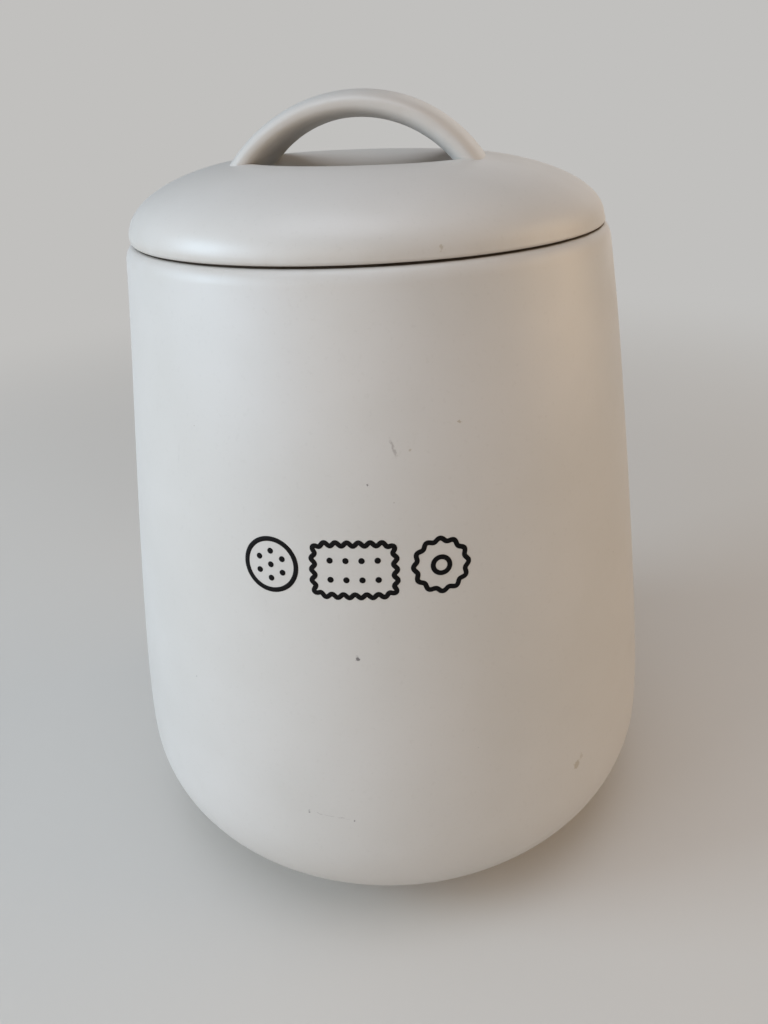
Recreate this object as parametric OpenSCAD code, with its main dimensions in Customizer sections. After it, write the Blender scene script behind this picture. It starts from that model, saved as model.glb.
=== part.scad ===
// Glazed stoneware biscuit jar with a domed, dished lid, a strap handle and a silicone seal.
// Millimetres, +Z up. The origin is the centre of the foot ring on the table, the front is -Y.

/* [Jar] */
// Height of the rim above the table
rim_h = 179; // [150:0.5:230]
// Widest diameter, low on the belly
belly_d = 160; // [144:1:200]
// Diameter where the wall meets the rounded shoulder edge
shoulder_d = 124.6; // [112:0.2:136]
// Lean of the wall at the shoulder, in degrees
wall_lean = 8.3; // [3:0.1:12]
// Width of the rounded shoulder edge
edge_w = 2.4; // [1:0.1:4]
// Height of the rounded shoulder edge
edge_h = 4.4; // [1:0.1:6]
// Radius of the rounded bottom corner
corner_r = 33; // [20:1:45]
// Thickness of the wall
wall_t = 5; // [3.5:0.1:7]
// Thickness of the floor
floor_t = 6; // [4:0.1:9]

/* [Foot ring] */
// Outer diameter of the foot ring
foot_d = 92; // [70:1:100]
// Width of the foot ring
foot_w = 5; // [3:0.5:9]
// Height of the foot ring under the floor
foot_h = 2; // [1:0.1:5]

/* [Mouth] */
// Thickness of the rim between the mouth and the shoulder
rim_t = 7.3; // [6:0.1:10]
// Height of the straight neck under the rim
neck_h = 17; // [14:0.5:26]
// Slope of the neck's underside, in degrees from level
neck_slope = 58; // [45:1:75]

/* [Lid] */
// Setback of the lid's edge from the shoulder
lid_setback = 1.9; // [0.4:0.1:3]
// Height of the lid's crest above the rim
lid_h = 16.9; // [12:0.1:26]
// Width of the dome between the lid's edge and its crest
dome_w = 29; // [20:0.2:34]
// Depth of the dish inside the crest
dish_depth = 9; // [4:0.2:10]
// Thickness of the lid
lid_t = 4.5; // [3:0.1:5.5]
// Radius of the lid's lower edge
lid_edge = 0.7; // [0.4:0.1:3]
// Open seam between the lid's edge and the rim
seam_gap = 0.5; // [0.3:0.1:1.5]

/* [Flange] */
// Depth of the flange below the rim
flange_h = 13; // [11:0.5:20]
// Thickness of the flange
flange_t = 5; // [4:0.1:7]
// Room between the flange and the mouth that the seal fills
seal_room = 4; // [2.5:0.1:6]
// Height of the flange's lip under the seal's groove
groove_lip = 2; // [1:0.1:2.5]
// Height of the flange above the seal's groove
groove_top = 1.8; // [1:0.1:2.5]
// Depth of the seal's groove
groove_depth = 1.5; // [0.8:0.1:2]

/* [Seal] */
// How far the seal's band stands out of the flange
band_out = 1.2; // [0.4:0.1:1.6]
// Number of sealing lips
lip_count = 3; // [1:1:3]
// Thickness of one lip at its root
lip_t = 1.4; // [0.8:0.1:1.8]
// Rise of each lip's tip above its root
lip_rise = 0.8; // [0:0.1:1.2]
// Clearance between the lips and the mouth
lip_gap = 0.3; // [0.3:0.1:0.8]
// Clearance between the band and its groove
band_fit = 0.1; // [0.05:0.05:0.3]

/* [Handle] */
// Height of the handle's crown above the crest
handle_rise = 15.2; // [12:0.2:30]
// Setback of the middle of each leg from the crest, at crest level
handle_inset = 4.6; // [4:0.1:10]
// Thickness of the strap
handle_t = 6.2; // [5:0.1:9]
// Width of the strap
handle_w = 34; // [14:0.5:40]

/* [Hidden] */
$fn = 96;
glaze_colour = "#dcd7cf";
silicone_colour = "#e9e9e4";
far = 300;                                   // reaches past every profile
wall_steps = 28;
dome_steps = 26;
arc_steps = 18;
edge_steps = 8;

belly_r = belly_d / 2;
belly_z = foot_h + corner_r;
corner_x = belly_r - corner_r;
foot_r = foot_d / 2;
foot_round = 0.8;                            // rounding of the foot ring's edges
shoulder_r = shoulder_d / 2;
edge_start = atan(edge_h / edge_w * tan(wall_lean));        // where the wall runs into the shoulder edge
edge_x = shoulder_r - edge_w * cos(edge_start);             // centre of the shoulder edge
shoulder_z = rim_h - edge_h * (1 - sin(edge_start));
mouth_r = shoulder_r - rim_t;
mouth_round = 1;                             // rounding of the mouth's upper edge
neck_z = rim_h - neck_h;

lid_r = shoulder_r - lid_setback;
lid_edge_z = rim_h + seam_gap + lid_edge;    // where the dome's curve begins
crest_r = lid_r - dome_w;
crest_z = rim_h + lid_h;
dish_z = crest_z - dish_depth;
seat_r = (mouth_r + mouth_round + edge_x) / 2;              // outer edge of the lid's seat

flange_r = mouth_r - seal_room;
flange_inner = flange_r - flange_t;
flange_z = rim_h - flange_h;
groove_z = flange_z + groove_lip;
groove_h = flange_h - groove_lip - groove_top;
band_inner = flange_r - groove_depth + band_fit;
band_outer = flange_r + band_out;
band_z = groove_z + band_fit;
band_h = groove_h - 2 * band_fit;

half_span = crest_r - handle_inset;
arch_rise = handle_rise - handle_t / 2;      // the strap's middle line above the crest
arch_r = (half_span * half_span + arch_rise * arch_rise) / (2 * arch_rise);
arch_z = crest_z + arch_rise - arch_r;

// How strongly each curve keeps its direction at its ends, as shares of its height or width
belly_pull = 0.073;
shoulder_pull = 0.785;
dome_pull_edge = 0.73;
dome_pull_crest = 0.13;
dish_pull_crest = 0.26;
dish_pull_floor = 0.5;

// The wall's outer curve, from the belly up to the shoulder edge
wall_h = shoulder_z - belly_z;
wall_curve = [
    [belly_r, belly_z],
    [belly_r, belly_z + belly_pull * wall_h],
    [shoulder_r, shoulder_z] + shoulder_pull * wall_h * [sin(wall_lean), -cos(wall_lean)],
    [shoulder_r, shoulder_z]];

// The lid's outer curves: the dome from its edge to the crest, then the dish to the middle
dome_curve = [
    [lid_r, lid_edge_z],
    [lid_r, lid_edge_z + dome_pull_edge * (crest_z - lid_edge_z)],
    [crest_r + dome_pull_crest * dome_w, crest_z],
    [crest_r, crest_z]];
dish_curve = [
    [crest_r, crest_z],
    [crest_r - dish_pull_crest * crest_r, crest_z],
    [dish_pull_floor * crest_r, dish_z],
    [0, dish_z]];

// Points on an arc about c from angle a to angle b, with radius rx across and ry up
function oval(c, rx, ry, a, b, n) = [
    for (i = [0:n]) let(turn = a + (b - a) * i / n) c + [rx * cos(turn), ry * sin(turn)]];
function arc(c, r, a, b, n) = oval(c, r, r, a, b, n);

// A cubic Bezier curve p: its point and its direction at t
function bezier_at(p, t) = pow(1 - t, 3) * p[0] + 3 * t * pow(1 - t, 2) * p[1]
    + 3 * t * t * (1 - t) * p[2] + t * t * t * p[3];
function bezier_way(p, t) = pow(1 - t, 2) * (p[1] - p[0]) + 2 * t * (1 - t) * (p[2] - p[1])
    + t * t * (p[3] - p[2]);
function left_of(v) = [-v[1], v[0]] / norm(v);

// The curve p moved by d to its left, as n + 1 points
function bezier(p, n, d = 0) = [for (i = [0:n]) bezier_at(p, i / n) + d * left_of(bezier_way(p, i / n))];

// Outlines are drawn in the plane of radius and height, and turned about Z
module foot_outline() {
    foot_in = foot_r - foot_w;
    foot_top = foot_h + floor_t / 2;         // buried in the floor
    polygon(concat(
        arc([foot_in + foot_round, foot_round], foot_round, 180, 270, edge_steps),
        arc([foot_r - foot_round, foot_round], foot_round, 270, 360, edge_steps),
        [[foot_r, foot_top], [foot_in, foot_top]]));
}

module jar_outline() {
    polygon(concat(
        [[0, foot_h]],
        arc([corner_x, belly_z], corner_r, 270, 360, arc_steps),
        bezier(wall_curve, wall_steps),
        oval([edge_x, rim_h - edge_h], edge_w, edge_h, edge_start, 90, edge_steps),
        [[0, rim_h]]));
    foot_outline();
}

// The inside of the wall, as if it had no neck
module wall_inside() {
    polygon(concat(
        [[0, foot_h + floor_t]],
        oval([corner_x, belly_z], corner_r - wall_t, corner_r - floor_t, 270, 360, arc_steps),
        bezier(wall_curve, wall_steps, wall_t),
        [[shoulder_r - wall_t, far], [0, far]]));
}

// The room that the neck leaves
module neck_inside() {
    neck_out = belly_r - mouth_r;
    polygon(concat(
        [[0, 0], [belly_r, 0], [belly_r, neck_z - neck_out * tan(neck_slope)], [mouth_r, neck_z]],
        arc([mouth_r + mouth_round, rim_h - mouth_round], mouth_round, 180, 90, edge_steps),
        [[mouth_r + mouth_round, far], [0, far]]));
}

module jar_body() {
    color(glaze_colour)
    rotate_extrude()
    difference() {
        jar_outline();
        intersection() {
            wall_inside();
            neck_inside();
        }
    }
}

// The lid's upper surface, filled down to z = 0
module lid_outline() {
    polygon(concat(
        [[0, 0], [lid_r, 0]],
        bezier(dome_curve, dome_steps),
        bezier(dish_curve, arc_steps)));
}

module lid_hollow() {
    inner_dome = [for (p = bezier(dome_curve, dome_steps, lid_t)) if (p[0] < flange_r) p];
    intersection() {
        polygon(concat([[0, 0], [flange_r, 0]], inner_dome, bezier(dish_curve, arc_steps, lid_t)));
        square([flange_inner, far]);
    }
}

// What is cut away under the lid's edge: below its seat, and at the open seam and the rounded edge
module edge_cut() {
    translate([flange_inner, 0]) square([far, rim_h]);
    difference() {
        translate([seat_r, 0]) square([far, lid_edge_z]);
        translate([0, rim_h + seam_gap]) square([lid_r - lid_edge, lid_edge]);
        translate([lid_r - lid_edge, lid_edge_z]) circle(lid_edge);
    }
}

module flange_outline() {
    difference() {
        translate([flange_inner, flange_z]) square([flange_t, flange_h]);
        translate([flange_r - groove_depth, groove_z]) square([flange_t, groove_h]);
    }
}

module lid() {
    color(glaze_colour)
    rotate_extrude()
    union() {
        difference() {
            lid_outline();
            lid_hollow();
            edge_cut();
        }
        flange_outline();
    }
}

// A strap's section: flat faces and fully rounded edges
module strap_section(w, t) {
    square([t, w - t], center = true);
    for (side = [-1, 1]) translate([0, side * (w - t) / 2]) circle(d = t);
}

// An arch with legs that run down into the lid, cut off where they meet its surface
module lid_handle() {
    color(glaze_colour)
    difference() {
        union() {
            translate([0, 0, arch_z])
            rotate([90, 0, 0])
            rotate_extrude(angle = 180)
            translate([arch_r, 0])
            strap_section(handle_w, handle_t);
            for (side = [-1, 1])
                translate([side * arch_r, 0, 0])
                linear_extrude(arch_z) strap_section(handle_w, handle_t);
        }
        rotate_extrude() lid_outline();
    }
}

// One lip, drawn from the middle of the band out to its tip
module lip_outline(z) {
    root_x = (band_inner + band_outer) / 2;
    tip_x = mouth_r - lip_gap;
    polygon([
        [root_x, z - lip_t / 2],
        [band_outer, z - lip_t / 2],
        [tip_x, z + lip_rise],
        [tip_x, z + lip_rise + lip_t / 2],
        [band_outer, z + lip_t / 2],
        [root_x, z + lip_t / 2]]);
}

module lid_seal() {
    color(silicone_colour)
    rotate_extrude()
    union() {
        translate([band_inner, band_z]) square([band_outer - band_inner, band_h]);
        for (i = [0:lip_count - 1]) lip_outline(band_z + band_h * (i + 0.5) / lip_count);
    }
}

jar_body();
lid();
lid_handle();
lid_seal();
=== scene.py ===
"""A glazed stoneware biscuit jar with a domed, dished lid, a strap handle and a silicone seal.

The pieces are surfaces worked out in millimetres and written to meshes in metres, in the frame of the
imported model: +Z up, the jar's axis at the origin, its front towards -Y.
"""

import math

import bpy
import numpy as np
from mathutils import Matrix, Vector


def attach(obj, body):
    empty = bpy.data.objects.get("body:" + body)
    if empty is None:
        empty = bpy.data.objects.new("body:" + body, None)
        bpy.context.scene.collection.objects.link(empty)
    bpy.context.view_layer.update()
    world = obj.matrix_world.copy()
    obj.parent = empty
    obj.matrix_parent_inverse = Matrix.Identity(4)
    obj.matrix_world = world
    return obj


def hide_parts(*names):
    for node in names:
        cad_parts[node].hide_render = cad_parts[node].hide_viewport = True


MM = 0.001

# Sizes in millimetres: those of the part's source, or the fired jar's own where it differs a little
RIM = 179.2                 # height of the jar's rim
BELLY = 80.0                # widest radius
SHOULDER = 62.4             # radius where the wall meets the shoulder edge
LEAN = math.radians(8.6)    # lean of the wall at the shoulder
EDGE_W, EDGE_H = 2.7, 4.6   # width and height of the rounded shoulder edge
WALL_PULLS = 0.048, 0.801   # shares of the wall's height that its curve heads straight on from its ends
CORNER = 33.0               # radius of the bottom corner
WALL, FLOOR = 5.0, 6.0      # thickness of the wall and the floor
FOOT_R, FOOT_W, FOOT_H = 46.0, 5.0, 2.0     # the foot ring's outer radius, width and height
MOUTH, NECK = 55.0, 17.0    # radius and depth of the straight neck inside the mouth
NECK_SLOPE = math.radians(58)        # slope from the neck out to the wall
LIP = 1.0                   # radius of the rounding between the rim and the neck
JAR_SEED, JAR_WAVES = 0.4, 0.14      # which slow waves the jar's wall has, and how deep they are
LID_SEED, LID_WAVES = 2.1, 0.12      # the same for the lid
WAVES_R = 20.0              # radius inside which the waves fade out towards the axis
SIDES = 256                 # points round the jar and the lid
LID_R, LID_EDGE, SEAM = 60.6, 0.8, 0.5      # the lid's radius, its rounded edge and its gap to the rim
CREST_R, CREST = 31.4, 195.8         # radius and height of the dome's crest
DISH = 186.9                # height of the dish's middle
DOME_PULLS = 0.73, 0.13     # the same for the dome: up from its edge and level from its crest
DISH_PULLS = 0.74, 0.5      # shares of the crest's radius to which the dish heads level from its two ends
LID_T = 4.5                 # thickness of the lid
SEAT_R = 57.4               # outer radius of the lid's seat on the rim
RIM_SHIFT, SHIFT_Z = -0.63, 147.0    # how far the shoulder stands to the right, and where that starts
LID_SHIFT = -0.7            # how far the dome stands to the right of the jar's axis
LID_LEAN = -0.019           # rise of the crest for each millimetre to the right
LID_SAG = 0.3               # how far the dome's edge sags on the left and the right
FLANGE_R, FLANGE_IN, FLANGE_Z = 51.0, 46.0, 166.0        # the flange's radii and its lower end
GROOVE_Z, GROOVE_TOP, GROOVE_R = 168.0, 177.2, 49.5      # the seal's groove: its ends and its bottom
BAND_IN, BAND_OUT, LIP_OUT = 49.6, 52.2, 54.7            # radii of the seal's band and lips
SEAL_Z, SEAL_TOP, SEAL_LIPS = 168.1, 177.1, 3            # the band's ends and its number of lips
ARCH_R, ARCH_Z = 35.65, 172.3        # radius of the strap's arc and height of its centre
STRAP_T, STRAP_W = 6.2, 33.5         # thickness and width at the crown
STRAP_SWELL, STRAP_FLARE = 0.13, 0.24   # shares by which it is thicker and wider further down the arc,
STRAP_REACH = 40.0          # at this distance from the crown
STRAP_POWER = 2.8           # how square the strap's section is: 2 is an ellipse
STRAP_SHIFT = -1.5          # how far the strap stands to the right of the jar's axis
STRAP_ROOT = 2.0            # how deep its feet reach into the lid
PRINT_Z = 116.0             # middle of the printed row
INK_H, INK_FOOT = 0.07, -0.12        # heights of the ink's flat top and its foot over the wall
INK_EDGE = 0.6 * INK_H      # height up to which its sides stand straight

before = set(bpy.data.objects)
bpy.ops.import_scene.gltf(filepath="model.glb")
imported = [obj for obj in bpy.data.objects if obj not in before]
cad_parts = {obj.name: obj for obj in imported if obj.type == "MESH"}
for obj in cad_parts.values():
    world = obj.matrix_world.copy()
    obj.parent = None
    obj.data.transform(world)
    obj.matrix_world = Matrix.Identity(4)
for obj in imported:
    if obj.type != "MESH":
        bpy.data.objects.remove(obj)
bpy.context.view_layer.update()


# ---------------------------------------------------------------- curves

def bezier(points, count):
    """A cubic Bezier curve: the four points weighted by the Bernstein polynomials of t from 0 to 1."""
    t = np.linspace(0, 1, count)[:, None]
    p = np.asarray(points, float)
    return (1 - t) ** 3 * p[0] + 3 * t * (1 - t) ** 2 * p[1] + 3 * t * t * (1 - t) * p[2] + t ** 3 * p[3]


def oval(x, z, rx, rz, start, end, count):
    """Part of an ellipse: its centre plus (rx cos a, rz sin a), a in degrees from start to end."""
    a = np.radians(np.linspace(start, end, count))
    return np.stack([x + rx * np.cos(a), z + rz * np.sin(a)], 1)


def beside(curve, distance):
    """The curve moved to its left: each point plus the distance times the unit normal there."""
    way = np.gradient(curve, axis=0)
    way /= np.linalg.norm(way, axis=1)[:, None]
    return curve + distance * np.stack([-way[:, 1], way[:, 0]], 1)


def softened(rows, steps=6):
    """A polyline with each corner replaced by a curve from one side to the other.

    rows are (x, z, reach): the curve starts and ends at that reach from the corner along its two sides,
    and is the quadratic through them with the corner as its middle control point."""
    rows = np.asarray(rows, float)
    out = []
    for i, (x, z, reach) in enumerate(rows):
        here = np.array([x, z])
        if reach <= 0 or i in (0, len(rows) - 1):
            out.append(here[None])
            continue
        before, after = rows[i - 1, :2] - here, rows[i + 1, :2] - here
        a = here + before / np.linalg.norm(before) * reach
        b = here + after / np.linalg.norm(after) * reach
        t = np.linspace(0, 1, steps)[:, None]
        out.append((1 - t) ** 2 * a + 2 * t * (1 - t) * here + t * t * b)
    return np.concatenate(out)


def respaced(curve, step):
    """The curve with long stretches filled in, so that no two neighbours are further apart than step."""
    parts = []
    for a, b in zip(curve[:-1], curve[1:]):
        gap = np.linalg.norm(b - a)
        if gap > 1e-6:
            parts.append(np.linspace(a, b, int(np.ceil(gap / step)) + 1)[:-1])
    return np.concatenate(parts + [curve[-1:]])


# ---------------------------------------------------------------- profiles (radius, height)

EDGE_START = math.atan(EDGE_H / EDGE_W * math.tan(LEAN))     # where the shoulder edge meets the wall
EDGE_X = SHOULDER - EDGE_W * math.cos(EDGE_START)
SHOULDER_Z = RIM - EDGE_H * (1 - math.sin(EDGE_START))
BELLY_Z = FOOT_H + CORNER
CORNER_X = BELLY - CORNER
WALL_H = SHOULDER_Z - BELLY_Z
WALL_CURVE = bezier([
    (BELLY, BELLY_Z), (BELLY, BELLY_Z + WALL_PULLS[0] * WALL_H),
    (SHOULDER + WALL_PULLS[1] * WALL_H * math.sin(LEAN),
     SHOULDER_Z - WALL_PULLS[1] * WALL_H * math.cos(LEAN)),
    (SHOULDER, SHOULDER_Z)], 70)

EDGE_Z = RIM + SEAM + LID_EDGE
DOME_W = LID_R - CREST_R
DOME_CURVE = bezier([
    (LID_R, EDGE_Z), (LID_R, EDGE_Z + DOME_PULLS[0] * (CREST - EDGE_Z)),
    (CREST_R + DOME_PULLS[1] * DOME_W, CREST), (CREST_R, CREST)], 56)
DISH_CURVE = bezier([
    (CREST_R, CREST), (DISH_PULLS[0] * CREST_R, CREST), (DISH_PULLS[1] * CREST_R, DISH), (0, DISH)], 40)


def jar_profile():
    """From the middle of the base, out over the foot ring, up the wall, over the rim and down the inside."""
    foot_in = FOOT_R - FOOT_W
    foot = softened([
        (0, FOOT_H, 0), (foot_in, FOOT_H, 0.5), (foot_in, 0, 0.8), (FOOT_R, 0, 0.8), (FOOT_R, FOOT_H, 0.5),
        (CORNER_X, FOOT_H, 0)])
    inner = beside(WALL_CURVE, WALL)[::-1]
    slope_x = MOUTH + (RIM - NECK - inner[:, 1]) / math.tan(NECK_SLOPE)
    inner = inner[(inner[:, 0] < slope_x) & (inner[:, 1] < RIM - NECK)]
    return np.concatenate([
        foot,
        oval(CORNER_X, BELLY_Z, CORNER, CORNER, 270, 360, 40),
        WALL_CURVE[1:],
        oval(EDGE_X, RIM - EDGE_H, EDGE_W, EDGE_H, math.degrees(EDGE_START), 90, 20)[1:],
        oval(MOUTH + LIP, RIM - LIP, LIP, LIP, 90, 180, 8),
        softened([(MOUTH, RIM - 3 * LIP, 0), (MOUTH, RIM - NECK, 2.5), (*inner[0], 0)]),
        inner[1:],
        oval(CORNER_X, BELLY_Z, CORNER - WALL, CORNER - FLOOR, 360, 270, 40)[1:],
        [(0, FOOT_H + FLOOR)]])


def lid_profile():
    """From the middle of the dish, out over the crest, down the dome, round the edge and back underneath.
    The gap leaves room for the last bend before the edge's rounding and before the hollow."""
    gap = 0.6
    hollow = beside(DOME_CURVE, LID_T)
    hollow = hollow[hollow[:, 0] < FLANGE_IN - gap]
    return np.concatenate([
        DISH_CURVE[::-1],
        DOME_CURVE[::-1][1:],
        oval(LID_R - LID_EDGE, EDGE_Z, LID_EDGE, LID_EDGE, 0, -90, 12)[1:],
        softened([
            (SEAT_R + gap, RIM + SEAM, 0), (SEAT_R, RIM + SEAM, 0.25), (SEAT_R, RIM, 0.25),
            (FLANGE_R, RIM, 0.5), (FLANGE_R, GROOVE_TOP, 0.3), (GROOVE_R, GROOVE_TOP, 0.3),
            (GROOVE_R, GROOVE_Z, 0.3), (FLANGE_R, GROOVE_Z, 0.3), (FLANGE_R, FLANGE_Z, 0.8),
            (FLANGE_IN, FLANGE_Z, 0.8), (FLANGE_IN, hollow[0, 1] - gap, 0)], 4)[1:],
        hollow,
        beside(DISH_CURVE, LID_T)[1:-1],
        [(0, DISH - LID_T)]])


def seal_profile():
    """A band in the flange's groove with upward lips, drawn counterclockwise as a closed ring."""
    pitch = (SEAL_TOP - SEAL_Z) / SEAL_LIPS
    rows = [(BAND_IN, SEAL_Z, 0.3), (BAND_OUT, SEAL_Z, 0.3)]
    root, tip, tip_top, root_top = -0.75, 0.78, 1.42, 0.6      # a lip's corners, from its pitch's middle
    for i in range(SEAL_LIPS):
        z = SEAL_Z + pitch * (i + 0.5)
        rows += [(BAND_OUT, z + root, 0.25), (LIP_OUT, z + tip, 0.2), (LIP_OUT, z + tip_top, 0.2),
                 (BAND_OUT, z + root_top, 0.3)]
    rows[-1] = (BAND_OUT, rows[-1][1], 0.2)
    rows += [(BAND_OUT, SEAL_TOP, 0.1), (BAND_IN, SEAL_TOP, 0.3)]
    ring = softened([rows[-1]] + rows + [rows[0]], 5)
    return ring[1:-1]


# ---------------------------------------------------------------- meshes

def write_mesh(name, points, faces, weights=None):
    """A smooth-shaded mesh in metres from points in millimetres; weights are named values of its points."""
    mesh = bpy.data.meshes.new(name)
    mesh.from_pydata((np.asarray(points) * MM).tolist(), [], faces)
    mesh.validate()
    for key, values in (weights or {}).items():
        layer = mesh.attributes.new(key, "FLOAT", "POINT")
        layer.data.foreach_set("value", np.asarray(values, np.float32).ravel())
    mesh.polygons.foreach_set("use_smooth", np.ones(len(mesh.polygons), bool))
    obj = bpy.data.objects.new(name, mesh)
    bpy.context.scene.collection.objects.link(obj)
    return obj


def grid_faces(rows, cols, wrap_rows=False):
    """The quads of a grid of rows by cols points whose columns close into a ring."""
    i, j = np.meshgrid(np.arange(rows if wrap_rows else rows - 1), np.arange(cols), indexing="ij")
    k, m = (i + 1) % rows, (j + 1) % cols
    return np.stack([i * cols + j, i * cols + m, k * cols + m, k * cols + j], -1).reshape(-1, 4)


def fan(centre, ring, inward):
    """Triangles from one point to each side of a ring of points, turned over if inward."""
    middle, following = np.full(len(ring), centre), np.roll(ring, -1)
    return np.stack([middle, following, ring] if inward else [middle, ring, following], 1)


def unevenness(angle, height, seed, depth):
    """How far a fired wall falls back from its true radius: a sum of three slow waves round and up the
    piece, scaled to run from 0 to the depth."""
    a, h = angle + seed, height / 60
    wave = (np.sin(2 * a + 1.1 * h) + 0.7 * np.sin(3 * a - 2.3 * h + seed)
            + 0.5 * np.sin(a + 4.1 * h + 2 * seed))
    most = 1 + 0.7 + 0.5
    return depth * (wave + most) / (2 * most)


def spun(r, z, a):
    """Points (r sin a, -r cos a, z) on a grid of heights by angles."""
    r, z = r + 0 * a, z + 0 * a
    return np.stack([r * np.sin(a), -r * np.cos(a), z], -1).reshape(-1, 3)


def turned(name, profile, sides, seed, depth, thin, place=None):
    """A piece turned about Z: each point is (r sin a, -r cos a, z), with r the profile's radius less the
    unevenness there. An end of the profile on the axis closes to one point; a profile without one is a ring.
    thin gives the profile's points their weights, and place may move the points of the piece."""
    solid = profile[0, 0] < 1e-6
    body = profile[1:-1] if solid else profile
    a = np.linspace(0, 2 * np.pi, sides, endpoint=False)
    r, z = body[:, :1], body[:, 1:]
    r = r - unevenness(a[None], z, seed, depth) * np.clip(r / WAVES_R, 0, 1)
    points = spun(r, z, a)
    faces = grid_faces(len(body), sides, wrap_rows=not solid).tolist()
    weight = np.repeat(thin(body), sides)
    if solid:
        n = len(points)
        ends = [(0, 0, profile[0, 1]), (0, 0, profile[-1, 1])]
        points = np.concatenate([points, ends])
        weight = np.concatenate([weight, [0, 0]])
        faces += fan(n, np.arange(sides), True).tolist()
        faces += fan(n + 1, n - sides + np.arange(sides), False).tolist()
    return outward(write_mesh(name, place(points) if place else points, faces, {"thin": weight}))


def outward(obj):
    """Turns the faces of a closed mesh outwards if the volume that they enclose comes out negative."""
    mesh = obj.data
    mesh.calc_loop_triangles()
    co = np.empty(len(mesh.vertices) * 3)
    mesh.vertices.foreach_get("co", co)
    tri = np.empty(len(mesh.loop_triangles) * 3, np.int32)
    mesh.loop_triangles.foreach_get("vertices", tri)
    a, b, c = co.reshape(-1, 3)[tri.reshape(-1, 3)].transpose(1, 0, 2)
    if np.einsum("ij,ij->i", a, np.cross(b, c)).sum() < 0:
        mesh.flip_normals()
    return obj


def upward(obj):
    """Turns the faces of a flat mesh upwards."""
    if obj.data.polygons[0].normal.z < 0:
        obj.data.flip_normals()
    return obj


def bend_weight(profile):
    """How sharply the profile bends near each point, from 0 to 1: the glaze runs thin there. The turns of
    its direction are added up, each less the further away it is, by the Gaussian of the distance."""
    reach, sharp = 1.6, 1.2         # millimetres, and the turn in radians that counts as 1
    way = np.diff(profile, axis=0)
    length = np.linalg.norm(way, axis=1)
    angle = np.unwrap(np.arctan2(way[:, 1], way[:, 0]))
    along = np.concatenate([[0], np.cumsum(length)])
    turn = np.zeros(len(profile))
    turn[1:-1] = np.diff(angle)
    near = np.exp(-((along[:, None] - along[None]) / reach) ** 2)
    return np.clip(np.abs(near @ turn) / sharp, 0, 1)


def make_jar():
    profile = respaced(jar_profile(), step=2.2)
    return turned("jar_shell", profile, SIDES, JAR_SEED, JAR_WAVES, bend_weight, leaning)


def make_lid():
    profile = respaced(lid_profile(), step=1.6)
    return turned("lid_dome", profile, SIDES, LID_SEED, LID_WAVES, bend_weight, settled)


def lip_weight(profile):
    """How far out on a lip of the seal each point is, from 0 on the band to 1 at the tip."""
    return np.clip((profile[:, 0] - BAND_OUT) / (LIP_OUT - BAND_OUT), 0, 1)


def make_seal():
    return turned("seal_lips", seal_profile(), sides=240, seed=0, depth=0, thin=lip_weight)


def leaning(points):
    """The jar's outside leans over towards its rim: the points outside the mouth move sideways by the
    rim's shift times the square of the way up from where that starts, with the full shift from some way
    out of the mouth."""
    full = 3.0
    x, y, z = points.T
    up = np.clip((z - SHIFT_Z) / (RIM - SHIFT_Z), 0, 1)
    outer = np.clip((np.hypot(x, y) - MOUTH - LIP) / full, 0, 1)
    return np.stack([x + RIM_SHIFT * up ** 2 * outer, y, z], 1)


def settled(points):
    """The lid as it came out of the kiln, a little off centre and out of level. Above the seam the points
    move sideways by the lid's shift, and their height changes by the lean times their distance to the
    right, more and more from the rim up to the crest. The edge of the dome sags by the square of its
    distance to the side, less and less up to the crest. The seat on the rim stays where it is."""
    seat, full = 0.2, 2.0           # above the rim: where the sag starts, and where the shift is whole
    x, y, z = points.T
    aside = np.clip((z - RIM) / full, 0, 1)
    rise = np.clip((z - RIM) / (CREST - RIM), 0, 1)
    sag = LID_SAG * (x / LID_R) ** 2 * np.clip((z - RIM - seat) / (SEAM - seat), 0, 1) * (1 - rise)
    return np.stack([x + LID_SHIFT * aside, y, z + LID_LEAN * x * rise - sag], 1)


def lid_top(x, y):
    """The height of the lid's upper surface at a place near the crest."""
    top = np.concatenate([DISH_CURVE[::-1], DOME_CURVE[::-1][1:]])
    return np.interp(np.hypot(x - LID_SHIFT, y), top[:, 0], top[:, 1]) + LID_LEAN * (x - LID_SHIFT)


def strap_point(a, s):
    """A point of the strap, at the angle a along its arc and s round its section.

    The section is |x / half thickness|^p + |y / half width|^p = 1. The point is the arc's centre plus
    (radius + x) times the outward direction, and y across. Both halves grow with the square of the way
    down from the crown."""
    power = 2 / STRAP_POWER
    out = np.sign(np.cos(s)) * np.abs(np.cos(s)) ** power
    across = np.sign(np.sin(s)) * np.abs(np.sin(s)) ** power
    down = ((a - np.pi / 2) * ARCH_R / STRAP_REACH) ** 2
    r = ARCH_R + STRAP_T / 2 * (1 + STRAP_SWELL * down) * out
    y = STRAP_W / 2 * (1 + STRAP_FLARE * down) * across
    return STRAP_SHIFT + r * np.cos(a), y, ARCH_Z + r * np.sin(a)


def strap_end(s, low, high):
    """The angle, between one inside the lid and one above it, at which each line along the strap is as
    deep in the lid as its root, found by halving the range."""
    low, high = low + 0 * s, high + 0 * s
    for _ in range(24):
        middle = (low + high) / 2
        x, y, z = strap_point(middle, s)
        buried = z < lid_top(x, y) - STRAP_ROOT
        low, high = np.where(buried, middle, low), np.where(buried, high, middle)
    return (low + high) / 2


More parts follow.
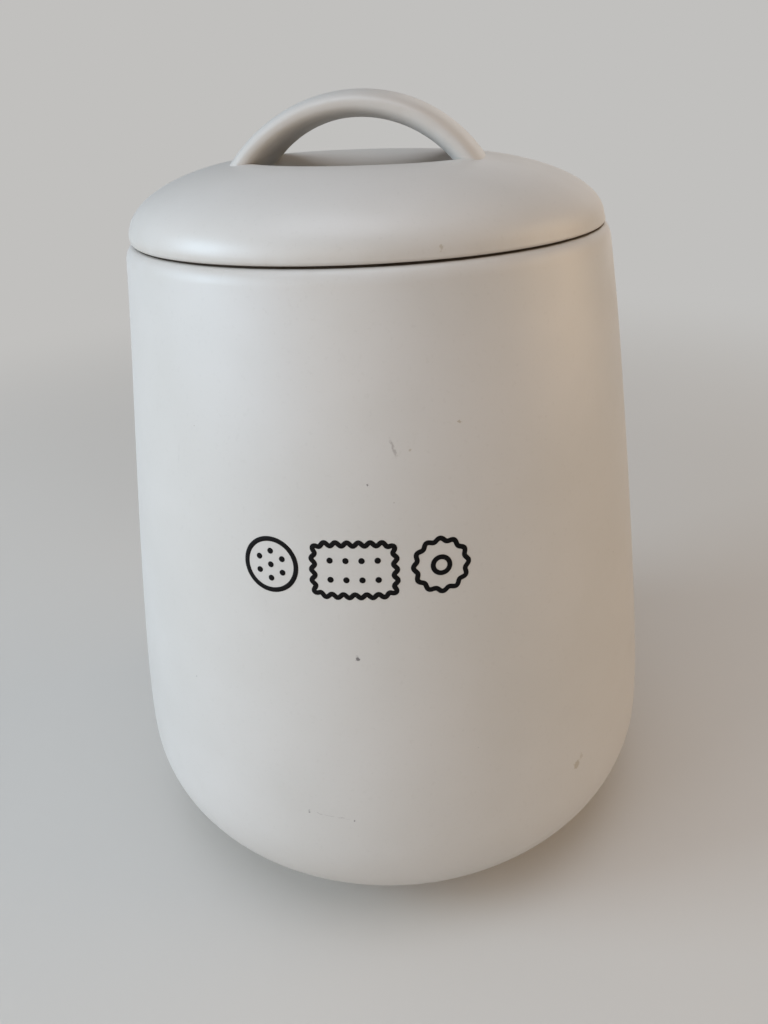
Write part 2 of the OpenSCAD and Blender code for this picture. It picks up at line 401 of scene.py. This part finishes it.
def make_handle(rows=150, cols=96):
    """The strap: its section carried along an arc from one root in the lid to the other."""
    s = np.linspace(0, 2 * np.pi, cols, endpoint=False)[None]
    crown, buried = math.pi / 2, np.radians([15, 165])
    ends = [strap_end(s, low, crown) for low in buried]
    a = ends[0] + (ends[1] - ends[0]) * np.linspace(0, 1, rows)[:, None]
    points = np.stack(np.broadcast_arrays(*strap_point(a, s)), -1).reshape(-1, 3)
    faces = grid_faces(rows, cols).tolist()
    n = len(points)
    caps = [points[:cols].mean(0), points[-cols:].mean(0)]
    faces += fan(n, np.arange(cols), True).tolist()
    faces += fan(n + 1, n - cols + np.arange(cols), False).tolist()
    thin = np.broadcast_to(np.abs(np.sin(s)) ** 6, a.shape).ravel()
    thin = np.concatenate([thin, [0, 0]])
    return outward(write_mesh("strap_handle", np.concatenate([points, caps]), faces, {"thin": thin}))


# ---------------------------------------------------------------- the printed row of biscuits

def wall_point(u, v, lift):
    """A point of the print: u millimetres round the front from its middle and v above it, lifted off the
    wall. The wall's radius comes from its curve at that height, less its unevenness there."""
    z = PRINT_Z + v
    angle = u / np.interp(PRINT_Z, WALL_CURVE[:, 1], WALL_CURVE[:, 0])
    r = np.interp(z, WALL_CURVE[:, 1], WALL_CURVE[:, 0]) - unevenness(angle, z, JAR_SEED, JAR_WAVES) + lift
    return np.stack([r * np.sin(angle), -r * np.cos(angle), z], -1)


def left_of(path):
    """The unit direction to the left of a closed path at each of its points."""
    way = np.roll(path, -1, 0) - np.roll(path, 1, 0)
    way /= np.linalg.norm(way, axis=1)[:, None]
    return np.stack([-way[:, 1], way[:, 0]], 1)


def closed_line(path, width):
    """A closed stroke of ink: a low flat ridge of that width along the path, from below the glaze to a
    little above it. Its section runs left foot, left top, right top, right foot."""
    side = left_of(path)
    section = [(-0.5, INK_FOOT), (-0.5, INK_EDGE), (-0.42, INK_H),
               (0.42, INK_H), (0.5, INK_EDGE), (0.5, INK_FOOT)]
    points = []
    for share, lift in section:
        p = path + side * share * width
        points.append(wall_point(p[:, 0], p[:, 1], lift))
    points = np.stack(points, 1)
    rows, cols = points.shape[:2]
    return points.reshape(-1, 3), [grid_faces(rows, cols, wrap_rows=True)]


def dot(u, v, radius, sides=20):
    """A round dot of ink: rings from a foot below the glaze up over its rounded edge to one middle point."""
    a = np.linspace(0, 2 * np.pi, sides, endpoint=False)
    rings = [(1.0, INK_FOOT), (1.0, INK_EDGE), (0.84, INK_H), (0.4, INK_H)]
    points = [wall_point(u + radius * k * np.cos(a), v + radius * k * np.sin(a), lift) for k, lift in rings]
    points += [wall_point(np.array([u]), np.array([v]), lift) for lift in (INK_H, INK_FOOT)]
    n = len(rings) * sides
    top, foot = fan(n, n - sides + np.arange(sides), False), fan(n + 1, np.arange(sides), True)
    return np.concatenate(points), [grid_faces(len(rings), sides), top, foot]


def ripple_circle(u, radius, waves=0, depth=0.0, count=180):
    """A circle round (u, 0) whose radius swells and shrinks by the depth that many times round."""
    a = np.linspace(0, 2 * np.pi, count, endpoint=False)
    r = radius + depth * np.cos(waves * a)
    return np.stack([u + r * np.cos(a), r * np.sin(a)], 1)


def ripple_oblong(width, height, waves, depth, count=300):
    """A rounded oblong, |x / half width|^7 + |y / half height|^7 = 1, moved in and out along its normal by
    the depth that many times round, evenly along its length."""
    s, power = np.linspace(0, 2 * np.pi, 2400, endpoint=False), 2 / 7
    x = width / 2 * np.sign(np.cos(s)) * np.abs(np.cos(s)) ** power
    y = height / 2 * np.sign(np.sin(s)) * np.abs(np.sin(s)) ** power
    x, y = np.append(x, x[0]), np.append(y, y[0])
    along = np.concatenate([[0], np.cumsum(np.hypot(np.diff(x), np.diff(y)))])
    want = np.linspace(0, along[-1], count, endpoint=False)
    path = np.stack([np.interp(want, along, x), np.interp(want, along, y)], 1)
    return path - left_of(path) * depth * np.cos(waves * 2 * np.pi * want / along[-1])[:, None]


def make_print():
    """Three biscuits in outline: a docked round, an oblong with a rippled edge, and a ring."""
    line, dot_r = 1.15, 0.72        # width of the lines and radius of the dots
    aside = 19.6                    # distance of the outer two from the middle
    round_r, ring_r, hole_r = 6.2, 6.0, 1.9
    dock_r = 3.3                    # radius of the circle of dots on the round
    outlines = [ripple_circle(-aside, round_r), ripple_oblong(18.6, 12.4, 22, 0.42),
                ripple_circle(aside, ring_r, 12, 0.35), ripple_circle(aside, hole_r, count=60)]
    spots = [(-aside, 0)]
    spots += [(-aside + dock_r * math.cos(t), dock_r * math.sin(t)) for t in np.radians(range(30, 390, 60))]
    spots += [(x, y) for x in (-5.4, -1.8, 1.8, 5.4) for y in (-2.3, 2.3)]
    parts = [closed_line(path, line) for path in outlines] + [dot(u, v, dot_r) for u, v in spots]
    points, faces, start = [], [], 0
    for place, blocks in parts:
        points.append(place)
        for block in blocks:
            faces += (block + start).tolist()
        start += len(place)
    return outward(write_mesh("biscuit_print", np.concatenate(points), faces))


# ---------------------------------------------------------------- materials

class Value:
    """A number in a material: arithmetic on it adds Math nodes."""

    def __init__(self, finish, socket):
        self.finish, self.socket = finish, socket

    def math(self, operation, *others):
        return self.finish.node("Math", {"operation": operation}, dict(enumerate((self,) + others)))

    def __add__(self, other): return self.math("ADD", other)
    def __sub__(self, other): return self.math("SUBTRACT", other)
    def __mul__(self, other): return self.math("MULTIPLY", other)
    def __truediv__(self, other): return self.math("DIVIDE", other)

    def ramp(self, low, high, to_low=0.0, to_high=1.0):
        """Smoothly from to_low at low to to_high at high, and flat beyond them."""
        settings = {"interpolation_type": "SMOOTHSTEP"}
        return self.finish.node("MapRange", settings, {
            "Value": self, "From Min": low, "From Max": high, "To Min": to_low, "To Max": to_high})


class Finish:
    """A material under construction. Its patterns read the piece's Object coordinates, in metres."""

    def __init__(self, name, **constants):
        self.material = bpy.data.materials.new(name)
        self.material.use_nodes = True
        self.tree = self.material.node_tree
        self.tree.nodes.clear()
        self.shader = self.tree.nodes.new("ShaderNodeBsdfPrincipled")
        surface = self.tree.nodes.new("ShaderNodeOutputMaterial")
        self.tree.links.new(self.shader.outputs[0], surface.inputs[0])
        for key, value in constants.items():
            self.shader.inputs[key.replace("_", " ")].default_value = value
        self.place = self.node("TexCoord", {}, {}, "Object")

    def node(self, kind, settings, inputs, output=0):
        """Adds a node: its settings first, then its sockets' values or links."""
        made = self.tree.nodes.new("ShaderNode" + kind)
        for key, value in settings.items():
            setattr(made, key, value)
        for key, value in inputs.items():
            if isinstance(value, Value):
                self.tree.links.new(value.socket, made.inputs[key])
            else:
                made.inputs[key].default_value = value
        return Value(self, made.outputs[output])

    def noise(self, size, detail=2.0, rough=0.5, shift=(0, 0, 0)):
        """Noise whose features are about that many millimetres across."""
        at = self.node("Mapping", {}, {"Vector": self.place, "Location": shift})
        return self.node("TexNoise", {}, {
            "Vector": at, "Scale": 1 / (size * MM), "Detail": detail, "Roughness": rough})

    def cells(self, size, shift):
        """Scattered points about that many millimetres apart: the distance to the nearest, in millimetres,
        and a random number for each."""
        at = self.node("Mapping", {}, {"Vector": self.place, "Location": shift})
        near = self.node("TexVoronoi", {}, {"Vector": at, "Scale": 1 / (size * MM)})
        chance = self.node("SeparateColor", {}, {"Color": Value(self, near.socket.node.outputs["Color"])})
        return near * size, chance

    def attribute(self, name):
        """A named value of the piece's points."""
        return self.node("Attribute", {"attribute_name": name}, {}, "Fac")

    def axis(self, name):
        """The place along X, Y or Z, in metres."""
        return self.node("SeparateXYZ", {}, {"Vector": self.place}, name)

    def radius(self):
        """The distance to the jar's axis, in millimetres."""
        x, y = self.axis("X"), self.axis("Y")
        return (x * x + y * y).math("SQRT") * 1000

    def mix(self, share, a, b):
        """A colour between a and b: sockets 6, 7 and 2 are the ones that the Mix node has for colours."""
        return self.node("Mix", {"data_type": "RGBA"}, {0: share, 6: a, 7: b}, 2)

    def set(self, **values):
        """Links values to the shader's sockets."""
        for key, value in values.items():
            self.tree.links.new(value.socket, self.shader.inputs[key.replace("_", " ")])

    def bump(self, height, millimetres):
        """Relief: height 1 stands that many millimetres proud."""
        self.set(Normal=self.node("Bump", {}, {
            "Height": height, "Distance": millimetres * MM, "Strength": 1.0}))


def colour(r, g, b):
    """A screen colour, 0 to 255, as the linear colour that a material takes."""
    c = np.array([r, g, b]) / 255
    return tuple(np.where(c <= 0.04045, c / 12.92, ((c + 0.055) / 1.055) ** 2.4)) + (1.0,)


# Screen colours of the glaze, its marks and the bare clay, with a painted shade for the clay in the slit
# under the lid, of the ink and of the seal
GLAZE_DEEP, GLAZE_PALE, GLAZE_WARM = colour(195, 191, 185), colour(201, 197, 192), colour(198, 192, 183)
GLAZE_GRAIN, GLAZE_THIN, FLECK = colour(172, 166, 158), colour(184, 172, 158), colour(128, 112, 96)
STAIN, SPECK, HAIRLINE = colour(146, 128, 92), colour(74, 68, 70), colour(104, 88, 84)
# The last clay colour is painted shade: the bare clay darkened in the slit between the lid and the rim
CLAY_PALE, CLAY_DEEP, CLAY_SLIT_SHADE = colour(172, 157, 136), colour(150, 134, 113), colour(104, 91, 76)
INK_BLACK, INK_GREY, INK_WORN = colour(4, 3, 4), colour(15, 13, 14), colour(64, 60, 58)
SEAL_DEEP, SEAL_PALE, SEAL_DUST = colour(222, 221, 214), colour(232, 231, 226), colour(196, 190, 180)


SLIT_SHADE_R = 58.4              # radius in millimetres from which painted shade darkens the bare clay in the slit between the lid and the rim


def surface_point(turn, height):
    """The point of the outside at that height, turn degrees round from the front, in metres."""
    curve = WALL_CURVE if height < RIM else DOME_CURVE
    r, a = np.interp(height, curve[:, 1], curve[:, 0]), math.radians(turn)
    return tuple(np.array([r * math.sin(a), -r * math.cos(a), height]) * MM)


def speck(finish, turn, height, radius):
    """A ragged speck: 1 near one point of the surface, fading out about the radius, its edge pushed in and
    out by noise."""
    gap = finish.node("VectorMath", {"operation": "DISTANCE"}, {
        0: finish.place, 1: surface_point(turn, height)}, "Value")
    ragged = finish.noise(max(1.6 * radius, 0.4), 3.0, 0.65, (turn * 0.01, height * 0.01, 0.3))
    return (gap * ragged.ramp(0.3, 0.7, 0.55, 1.6)).ramp(0.6 * radius * MM, 1.2 * radius * MM, 1.0, 0.0)


def scratch(finish, turn, height, length, width, lean, bend):
    """A hairline: 1 along a parabola through one point of the surface. With u along it and v across it, both
    from the point, the line is v = bend u^2 for |u| under half the length, and noise makes it wander and
    break up; lean is its slope in degrees."""
    a, tilt = math.radians(turn), math.radians(lean)
    along = (math.cos(a) * math.cos(tilt), math.sin(a) * math.cos(tilt), math.sin(tilt))
    across = (-math.cos(a) * math.sin(tilt), -math.sin(a) * math.sin(tilt), math.cos(tilt))
    gap = finish.node("VectorMath", {"operation": "SUBTRACT"}, {
        0: finish.place, 1: surface_point(turn, height)})
    u, v = [finish.node("VectorMath", {"operation": "DOT_PRODUCT"}, {0: gap, 1: way}, "Value") * 1000
            for way in (along, across)]
    deep = finish.node("VectorMath", {"operation": "LENGTH"}, {0: gap}, "Value").ramp(
        0.6 * length * MM, 0.7 * length * MM, 1.0, 0.0)
    wander = (finish.noise(2.2, 2.0, 0.6) - 0.5) * 1.8
    off = (v + wander - u * u * bend).math("ABSOLUTE")
    ends = u.math("ABSOLUTE").ramp(0.3 * length, 0.5 * length, 1.0, 0.0)
    broken = finish.noise(0.9, 2.0, 0.6).ramp(0.42, 0.56, 0.1, 1.0)
    return off.ramp(0.25 * width, 0.7 * width, 1.0, 0.0) * ends * deep * broken


def unglazed(finish, edge):
    """1 where the glaze is wiped off before the firing: the foot that stands on the table, and the seat
    between the lid and the rim. The edge is noise that makes the line of the glaze uneven."""
    z, radius = finish.axis("Z") * 1000, finish.radius() + edge * 0.5
    foot = (z + edge * 0.7).ramp(1.0, 1.6, 1.0, 0.0)
    ring = radius.ramp(50.0, 51.0) * radius.ramp(LID_R - 0.6, LID_R - 0.2, 1.0, 0.0)
    level = (z - (RIM + SEAM / 2)).math("ABSOLUTE").ramp(0.45, 0.6, 1.0, 0.0)
    return foot.math("MAXIMUM", ring * level)


def marked(finish, tone, specks, stains, scratches):
    """The tone with a piece's marks on it. Dark specks and ochre stains are (turn, height, radius,
    strength), scratches (turn, height, length, width, lean, bend, strength)."""
    for marks, shade in ((stains, STAIN), (specks, SPECK)):
        for *mark, strength in marks:
            tone = finish.mix(speck(finish, *mark) * strength, tone, shade)
    for *mark, strength in scratches:
        tone = finish.mix(scratch(finish, *mark) * strength, tone, HAIRLINE)
    return tone


def glaze(name, shift, specks, stains, scratches=()):
    """Satin glaze on stoneware: slow clouds of tone, faint specks from the clay, a warmer tone where it runs
    thin on edges, a fine orange peel and pinholes, and bare clay where it is wiped off, with painted shade
    darkening that clay in the slit between the lid and the rim."""
    f = Finish(name, IOR=1.5, Specular_IOR_Level=0.5)
    clouds = f.noise(46, 3.0, 0.55, shift)
    drift = f.noise(150, 1.0, 0.5, tuple(np.add(shift, (0.3, 0.1, 0.7))))
    tone = f.mix(clouds.ramp(0.32, 0.7), GLAZE_DEEP, GLAZE_PALE)
    tone = f.mix(drift.ramp(0.35, 0.7, 0.0, 0.35), tone, GLAZE_WARM)
    grain = f.noise(1.1, 2.0, 0.6, shift)
    tone = f.mix(grain.ramp(0.58, 0.75, 0.0, 0.12), tone, GLAZE_GRAIN)
    thin = f.attribute("thin")
    broken = thin * f.noise(7, 3.0, 0.6, shift).ramp(0.3, 0.75, 0.35, 1.0)
    tone = f.mix(broken * 0.3, tone, GLAZE_THIN)
    near, chance = f.cells(11, shift)
    size = chance.ramp(0.0, 1.0, 0.04, 0.24)
    fleck = (near / size).ramp(0.5, 1.1, 1.0, 0.0) * chance.math("GREATER_THAN", 0.7)
    tone = f.mix(fleck * 0.45, tone, FLECK)
    tone = marked(f, tone, specks, stains, scratches)
    rough = f.noise(24, 4.0, 0.6, shift).ramp(0.3, 0.7, 0.36, 0.44) + fleck * 0.1 + broken * 0.06
    peel = (f.noise(2.6, 2.0, 0.5, shift) * 0.5 + f.noise(14, 2.0, 0.5, shift) * 2.0
            + f.noise(38, 1.0, 0.5, shift) * 4.0)
    holes, luck = f.cells(6.5, tuple(np.add(shift, (0.2, 0.4, 0.1))))
    pit = holes.ramp(0.05, 0.2, 1.0, 0.0) * luck.math("GREATER_THAN", 0.85)
    relief = peel - pit * 1.6
    bare = unglazed(f, f.noise(5, 2.0, 0.5, shift))
    clay = f.mix(f.noise(1.5, 3.0, 0.7, shift), CLAY_PALE, CLAY_DEEP)
    # Painted shade: the bare clay turns darker outward from this radius, in the slit between the lid and the
    # rim
    clay = f.mix(f.radius().ramp(SLIT_SHADE_R, SLIT_SHADE_R + 0.8), clay, CLAY_SLIT_SHADE)
    tone = f.mix(bare, tone, clay)
    rough = rough + bare * 0.4
    relief = relief + bare * f.noise(0.8, 3.0, 0.7, shift) * 3.0
    f.set(Base_Color=tone, Roughness=rough)
    f.bump(relief, 0.02)
    return f.material


def ink(name):
    """Fired black print: a little uneven in tone and thickness, and duller than the glaze."""
    f = Finish(name, IOR=1.45, Specular_IOR_Level=0.15)
    blotch = f.noise(0.9, 3.0, 0.6)
    worn = f.noise(9, 2.0, 0.5)
    tone = f.mix(blotch.ramp(0.35, 0.8), INK_BLACK, INK_GREY)
    tone = f.mix(worn.ramp(0.66, 0.85, 0.0, 0.22), tone, INK_WORN)
    f.set(Base_Color=tone, Roughness=blotch.ramp(0.3, 0.8, 0.42, 0.6))
    f.bump(f.noise(0.5, 2.0, 0.6), 0.012)
    return f.material


def silicone(name):
    """Milky silicone: slightly warm, duller on the lips where it has rubbed, with faint patches of dust."""
    f = Finish(name, IOR=1.41, Subsurface_Weight=0.15, Subsurface_Scale=0.002)
    cloud = f.noise(20, 3.0, 0.6)
    tone = f.mix(cloud.ramp(0.3, 0.7), SEAL_DEEP, SEAL_PALE)
    dust = f.noise(0.7, 2.0, 0.7).ramp(0.6, 0.72, 0.0, 0.35)
    tone = f.mix(dust, tone, SEAL_DUST)
    rubbed = f.attribute("thin")
    f.set(Base_Color=tone, Roughness=cloud.ramp(0.3, 0.7, 0.42, 0.52) + rubbed * 0.12)
    f.bump(f.noise(0.9, 3.0, 0.6), 0.02)
    return f.material


# Marks of the jar and the lid, with the turn in degrees from the front and the rest in millimetres
JAR_SPECKS = [
    (-0.15, 94.0, 0.5, 0.8), (-11.0, 48.0, 0.32, 0.65), (-11.0, 48.6, 0.26, 0.5), (-2.4, 47.0, 0.3, 0.6),
    (3.2, 135.7, 0.26, 0.7), (21.0, 66.0, 0.2, 0.4), (-36.0, 78.0, 0.22, 0.35), (112.0, 88.0, 0.3, 0.6),
    (165.0, 124.0, 0.35, 0.5), (-128.0, 60.0, 0.3, 0.55)]
JAR_STAINS = [
    (43.5, 46.6, 1.2, 0.45), (44.8, 48.4, 0.8, 0.25), (-170.0, 70.0, 1.0, 0.3), (11.2, 142.7, 0.4, 0.4),
    (20.6, 147.5, 0.4, 0.5)]
JAR_SCRATCHES = [
    (8.2, 143.6, 5.0, 0.7, -68.0, 0.03, 0.4), (-6.6, 47.6, 11.0, 0.3, -4.0, 0.012, 0.25),
    (-38.0, 137.0, 5.0, 0.3, 80.0, 0.03, 0.12), (140.0, 96.0, 7.0, 0.3, 20.0, 0.02, 0.35)]
LID_SPECKS = [(19.5, 182.0, 0.26, 0.45), (-150.0, 188.0, 0.3, 0.5)]
LID_STAINS = [(19.5, 182.0, 0.6, 0.4)]


# ---------------------------------------------------------------- the stage, the light and the camera

BACKDROP = colour(193, 192, 190)
FLOOR_DEEP, FLOOR_PALE = colour(201, 196, 189), colour(205, 200, 193)
PAINT_R, EVEN_R = 0.22, 0.75        # metres: paint alone up to the first, backdrop alone from the second
ROOM, ROOM_STRENGTH = (1.0, 0.99, 0.98, 1), 0.24
LAMP_AIM, LAMP_DISTANCE = (0, 0, 0.1), 1.25      # metres


def make_stage():
    """A pale flat floor: rings of a disc about the origin. Far from the jar the camera, and whatever mirrors
    the floor, sees the even colour of the backdrop in place of its paint, so that no horizon shows."""
    radii = np.concatenate([np.linspace(50, 1000, 16), np.linspace(1200, 8000, 18)])
    sides = 96
    a = np.linspace(0, 2 * np.pi, sides, endpoint=False)
    points = np.concatenate([spun(radii[:, None], 0 * radii[:, None], a), [(0, 0, 0)]])
    faces = grid_faces(len(radii), sides).tolist() + fan(len(points) - 1, np.arange(sides), True).tolist()
    obj = upward(write_mesh("pale_floor", points, faces))
    f = Finish("pale_floor_paint", IOR=1.4, Specular_IOR_Level=0.3)
    f.set(Base_Color=f.mix(f.noise(300, 2.0, 0.5), FLOOR_DEEP, FLOOR_PALE),
          Roughness=f.noise(60, 2.0, 0.5).ramp(0.3, 0.7, 0.7, 0.8))
    reach = f.node("VectorMath", {"operation": "LENGTH"}, {0: f.place}, "Value").ramp(PAINT_R, EVEN_R)
    seen = [f.node("LightPath", {}, {}, "Is %s Ray" % kind) for kind in ("Camera", "Glossy", "Transmission")]
    share = reach * (seen[0] + seen[1] + seen[2]).math("MINIMUM", 1.0)
    even = f.node("Emission", {}, {"Color": BACKDROP, "Strength": 1.0})
    surface = f.tree.nodes["Material Output"].inputs[0]
    paint = Value(f, surface.links[0].from_socket)
    both = f.node("MixShader", {}, {0: share, 1: paint, 2: even})
    f.tree.links.new(both.socket, surface)
    obj.data.materials.append(f.material)


def lamp(name, turn, rise, watts, tint, width=0.9):
    """A soft square lamp aimed at the jar's middle, turn degrees round from the front and rise degrees up."""
    data = bpy.data.lights.new(name, "AREA")
    data.shape, data.size = "SQUARE", width
    data.energy, data.color = watts, tint
    obj = bpy.data.objects.new(name, data)
    bpy.context.scene.collection.objects.link(obj)
    a, e = math.radians(turn), math.radians(rise)
    way = Vector((math.sin(a) * math.cos(e), -math.cos(a) * math.cos(e), math.sin(e)))
    obj.location = Vector(LAMP_AIM) + LAMP_DISTANCE * way
    obj.rotation_euler = (-way).to_track_quat("-Z", "Y").to_euler()


def make_light():
    """Two cool soft lamps on the left, one above, a warm one on the right and weak ones in front and
    behind, in an even room."""
    lamp("window_side", -74, 22, 6.6, (0.60, 0.82, 1.0), width=0.5)
    lamp("window_low", -60, 8, 9.4, (0.72, 0.84, 1.0))
    lamp("room_top", -20, 80, 6.0, (0.82, 0.88, 1.0))
    lamp("room_side", 95, 12, 6.2, (1.0, 0.73, 0.46))
    lamp("level_front", -12, 14, 3.2, (1.0, 0.82, 0.66))
    lamp("room_back", 160, 8, 1.6, (1.0, 0.96, 0.92))
    world = bpy.data.worlds.new("soft_room")
    bpy.context.scene.world = world
    world.use_nodes = True
    tree = world.node_tree
    tree.nodes.clear()
    out = tree.nodes.new("ShaderNodeOutputWorld")
    mix = tree.nodes.new("ShaderNodeMixShader")
    path = tree.nodes.new("ShaderNodeLightPath")
    tree.links.new(path.outputs["Is Camera Ray"], mix.inputs[0])
    for socket, (tint, strength) in enumerate([(ROOM, ROOM_STRENGTH), (BACKDROP, 1.0)], 1):
        even = tree.nodes.new("ShaderNodeBackground")
        even.inputs["Color"].default_value = tint
        even.inputs["Strength"].default_value = strength
        tree.links.new(even.outputs[0], mix.inputs[socket])
    tree.links.new(mix.outputs[0], out.inputs[0])


def make_camera():
    """The camera stands a little to the right of the front, level with the handle, looking down."""
    data = bpy.data.cameras.new("view")
    data.sensor_width, data.lens = 36.0, 28.125
    data.clip_start, data.clip_end = 0.01, 20.0
    obj = bpy.data.objects.new("view", data)
    bpy.context.scene.collection.objects.link(obj)
    place = (0.023442, -0.221180, 0.208730)
    right, up, back = (0.99553, 0.08183, -0.04723), (0.00413, 0.46169, 0.88703), (0.09439, -0.88326, 0.45928)
    turn = Matrix((right, up, back)).transposed()
    obj.matrix_world = Matrix.Translation(place) @ turn.to_4x4()
    bpy.context.scene.camera = obj


# ---------------------------------------------------------------- the object

def finish_piece(obj, material, body, slot_name, *nodes):
    """Gives a piece its material, the body that it moves with and the solid that it stands for, if any."""
    obj.data.materials.append(material)
    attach(obj, body)
    if nodes:
        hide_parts(*nodes)


make_camera()
make_light()
make_stage()
jar_glaze = glaze("jar_glaze", (0.0, 0.0, 0.0), JAR_SPECKS, JAR_STAINS, JAR_SCRATCHES)
finish_piece(make_jar(), jar_glaze, "jar", "glaze", "jar_body")
finish_piece(make_print(), ink("black_print"), "jar", "glaze")
lid_glaze = glaze("lid_glaze", (0.37, 0.11, 0.53), LID_SPECKS, LID_STAINS)
finish_piece(make_lid(), lid_glaze, "lid", "glaze", "lid")
finish_piece(make_handle(), lid_glaze, "lid", "glaze", "lid_handle")
finish_piece(make_seal(), silicone("milky_silicone"), "lid", "silicone", "lid_seal")

bpy.context.scene.view_settings.view_transform = "Standard"
